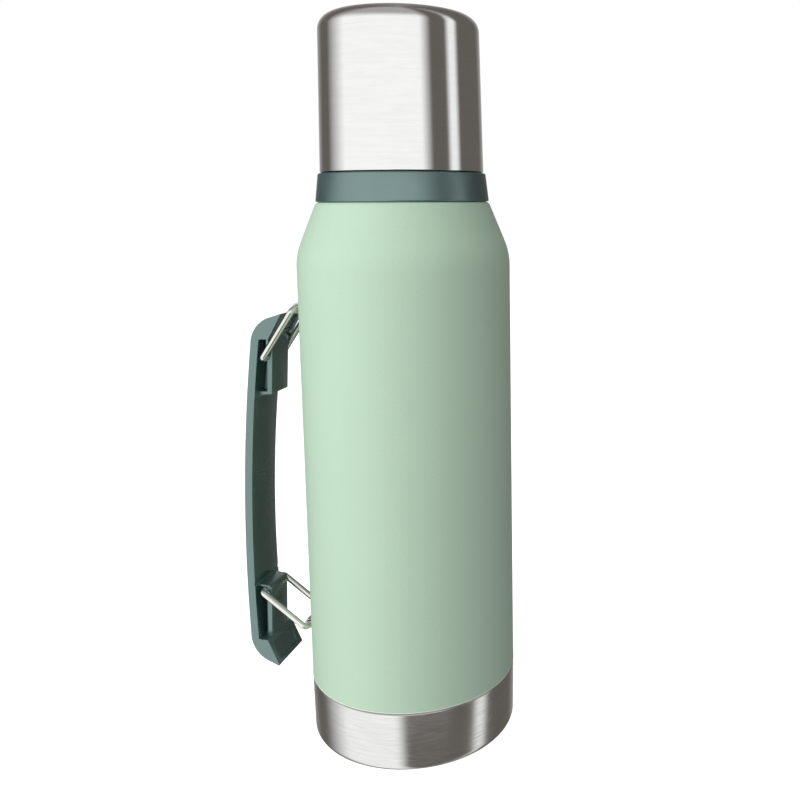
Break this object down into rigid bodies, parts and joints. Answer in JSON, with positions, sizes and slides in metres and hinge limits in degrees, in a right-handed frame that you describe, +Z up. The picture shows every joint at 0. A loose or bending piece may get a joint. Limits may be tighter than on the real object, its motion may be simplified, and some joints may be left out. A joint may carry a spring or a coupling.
{
  "type": "vacuum flask",
  "caption": "Tall round double-walled steel flask with a screw-on cup over its stopper, a moulded collar and a side handle that folds on wire bails.",
  "frame": {"origin": "on the flask's axis in the plane that it stands on, at the middle of the base cup's flat underside", "axes": "+Z up along the flask's axis, the handle on the -X side, the handle's hinges along Y"},
  "size_m": [0.133, 0.1, 0.343],
  "materials": {
    "green_powder_coat": "fine powder coat",
    "brushed_steel": "brushed",
    "plain_steel": "satin",
    "bright_wire": "polished",
    "copper_foil": "bright foil",
    "seal_glass": "glazed",
    "dark_green_plastic": "satin moulded",
    "stopper_plastic": "satin moulded",
    "silicone": "matt",
    "white_foam": "matt"
  },
  "bodies": {
    "bottle": {"outer_shell": "green_powder_coat", "base_cup": "brushed_steel", "outer_bottom": "plain_steel", "vacuum_seal": "seal_glass", "inner_liner": "plain_steel", "liner_bottom": "plain_steel", "radiation_foil": "copper_foil", "getter": "plain_steel", "neck_collar": "dark_green_plastic", "upper_bracket": "plain_steel", "lower_bracket": "plain_steel"},
    "lower_bail": {"lower_bail": "bright_wire"},
    "upper_bail": {"upper_bail": "bright_wire"},
    "grip": {"handle_grip": "dark_green_plastic"},
    "stopper_gasket": {"stopper_gasket": "silicone"},
    "stopper": {"stopper_body": "stopper_plastic", "stopper_knob": "stopper_plastic", "stopper_foam": "white_foam", "stopper_seal_ring": "silicone"},
    "cup_gasket": {"cup_gasket": "silicone"},
    "cup": {"cup_shell": "brushed_steel", "cup_liner": "plain_steel", "cup_thread_ring": "stopper_plastic"}
  },
  "joints": [
    {"name": "handle_swing", "type": "hinge", "parent": "bottle", "child": "lower_bail", "pos_m": [-0.05295, 0, 0.04695], "axis": [0, 1, 0], "range_deg": [-6, 31]},
    {"name": "upper_bail_swing", "type": "hinge", "parent": "bottle", "child": "upper_bail", "pos_m": [-0.05295, 0, 0.20812], "axis": [0, 1, 0], "range_deg": [-14, 3]},
    {"name": "grip_pivot", "type": "hinge", "parent": "lower_bail", "child": "grip", "pos_m": [-0.07557, 0, 0.06405], "axis": [0, 1, 0], "range_deg": [-33.5, 7]},
    {"name": "stopper_lift", "type": "slide", "parent": "bottle", "child": "stopper_gasket", "axis": [0, 0, 1], "range_m": [0, 0.055]},
    {"name": "stopper_turn", "type": "hinge", "parent": "stopper_gasket", "child": "stopper", "pos_m": [0, 0, 0.287], "axis": [0, 0, 1], "range_deg": [0, 540]},
    {"name": "cup_lift", "type": "slide", "parent": "stopper", "child": "cup_gasket", "axis": [0, 0, 1], "range_m": [0, 0.085]},
    {"name": "cup_turn", "type": "hinge", "parent": "cup_gasket", "child": "cup", "pos_m": [0, 0, 0.286], "axis": [0, 0, 1], "range_deg": [0, 450]}
  ],
  "couplings": [
    {"joint": "upper_bail_swing", "follows": "handle_swing", "ratio": -0.44},
    {"joint": "grip_pivot", "follows": "handle_swing", "ratio": -1.068}
  ]
}
